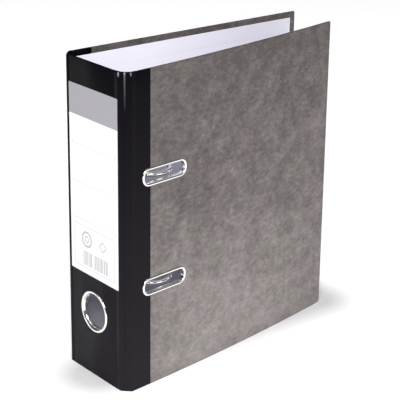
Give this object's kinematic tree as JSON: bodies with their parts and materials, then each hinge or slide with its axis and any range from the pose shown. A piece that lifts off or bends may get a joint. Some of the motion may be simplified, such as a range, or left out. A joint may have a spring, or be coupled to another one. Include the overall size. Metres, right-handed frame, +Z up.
{
  "type": "lever arch file",
  "caption": "Upright lever arch file: a hinged board case with slotted front cover, finger ring and spine label, closing over a lever-opened two-arch ring mechanism.",
  "frame": {"origin": "middle of the spine's foot, halfway through its board, on the surface that the file stands on", "axes": "+Z up along the spine, -Y out of the spine's face, +X towards the front cover with the slots"},
  "size_m": [0.0726, 0.2158, 0.23],
  "materials": {
    "greyboard": "matte grey board core",
    "spine_cloth": "black satin bookbinding cloth",
    "marbled_paper": "mottled brownish-grey cloud paper, matte",
    "lining_paper": "white lining paper, matte",
    "label_paper": "white label with a grey heading band",
    "chrome": "bright chromed steel",
    "nickel_steel": "nickel-plated pressed steel",
    "spring_steel": "bright spring wire",
    "black_plastic": "moulded, satin",
    "roller_plastic": "natural acetal"
  },
  "bodies": {
    "spine": {"spine_board": "greyboard", "spine_cloth": "spine_cloth", "spine_lining": "lining_paper", "spine_label": "label_paper", "finger_ring": "chrome", "ring_washer": "nickel_steel"},
    "front_strip": {"front_strip_board": "greyboard", "front_strip_cloth": "spine_cloth", "front_strip_lining": "lining_paper"},
    "front_cover": {"front_board": "greyboard", "front_cloth_flap": "spine_cloth", "front_cover_paper": "marbled_paper", "front_lining": "lining_paper", "lower_slot_eyelet": "chrome", "upper_slot_eyelet": "chrome", "lower_slot_backing": "nickel_steel", "upper_slot_backing": "nickel_steel"},
    "back_strip": {"back_strip_board": "greyboard", "back_strip_cloth": "spine_cloth", "back_strip_lining": "lining_paper"},
    "back_cover": {"back_board": "greyboard", "back_cloth_flap": "spine_cloth", "back_cover_paper": "marbled_paper", "back_lining": "lining_paper", "base_plate": "nickel_steel", "mechanism_rivets": "nickel_steel", "rod_bearings": "nickel_steel", "lower_post": "chrome", "upper_post": "chrome", "arch_spring": "spring_steel", "lever_pins": "nickel_steel"},
    "arches": {"arch_wire": "chrome"},
    "lever_body": {"lever": "nickel_steel", "lever_grip": "black_plastic", "roller_pin": "nickel_steel"},
    "roller": {"lever_roller": "roller_plastic"},
    "compressor": {"compressor_bar": "nickel_steel", "compressor_clips": "black_plastic"}
  },
  "joints": [
    {"name": "front_strip_fold", "type": "hinge", "parent": "spine", "child": "front_strip", "pos_m": [0.03, -0.00105, 0.115], "axis": [0, 0, -1], "range_deg": [0, 48]},
    {"name": "front_cover_fold", "type": "hinge", "parent": "front_strip", "child": "front_cover", "pos_m": [0.036, 0.00495, 0.115], "axis": [0, 0, -1], "range_deg": [0, 48]},
    {"name": "back_strip_fold", "type": "hinge", "parent": "spine", "child": "back_strip", "pos_m": [-0.03, -0.00105, 0.115], "axis": [0, 0, 1], "range_deg": [0, 48]},
    {"name": "back_cover_fold", "type": "hinge", "parent": "back_strip", "child": "back_cover", "pos_m": [-0.036, 0.00495, 0.115], "axis": [0, 0, 1], "range_deg": [0, 48]},
    {"name": "arch_swing", "type": "hinge", "parent": "back_cover", "child": "arches", "pos_m": [-0.026, 0.02295, 0.112], "axis": [0, 0, -1], "range_deg": [0, 27]},
    {"name": "lever_lift", "type": "hinge", "parent": "back_cover", "child": "lever_body", "pos_m": [-0.01843, 0.01245, 0.12517], "axis": [0, -1, 0], "range_deg": [0, 92]},
    {"name": "roller_spin", "type": "hinge", "parent": "lever_body", "child": "roller", "pos_m": [-0.01605, 0.01245, 0.128], "axis": [0, -1, 0], "continuous": true},
    {"name": "compressor_slide", "type": "slide", "parent": "back_cover", "child": "compressor", "axis": [1, 0, 0], "range_m": [0, 0.033]}
  ],
  "couplings": [
    {"joint": "front_strip_fold", "follows": "front_cover_fold", "ratio": 1},
    {"joint": "back_strip_fold", "follows": "back_cover_fold", "ratio": 1},
    {"joint": "arch_swing", "follows": "lever_lift", "ratio": 0.2934}
  ]
}
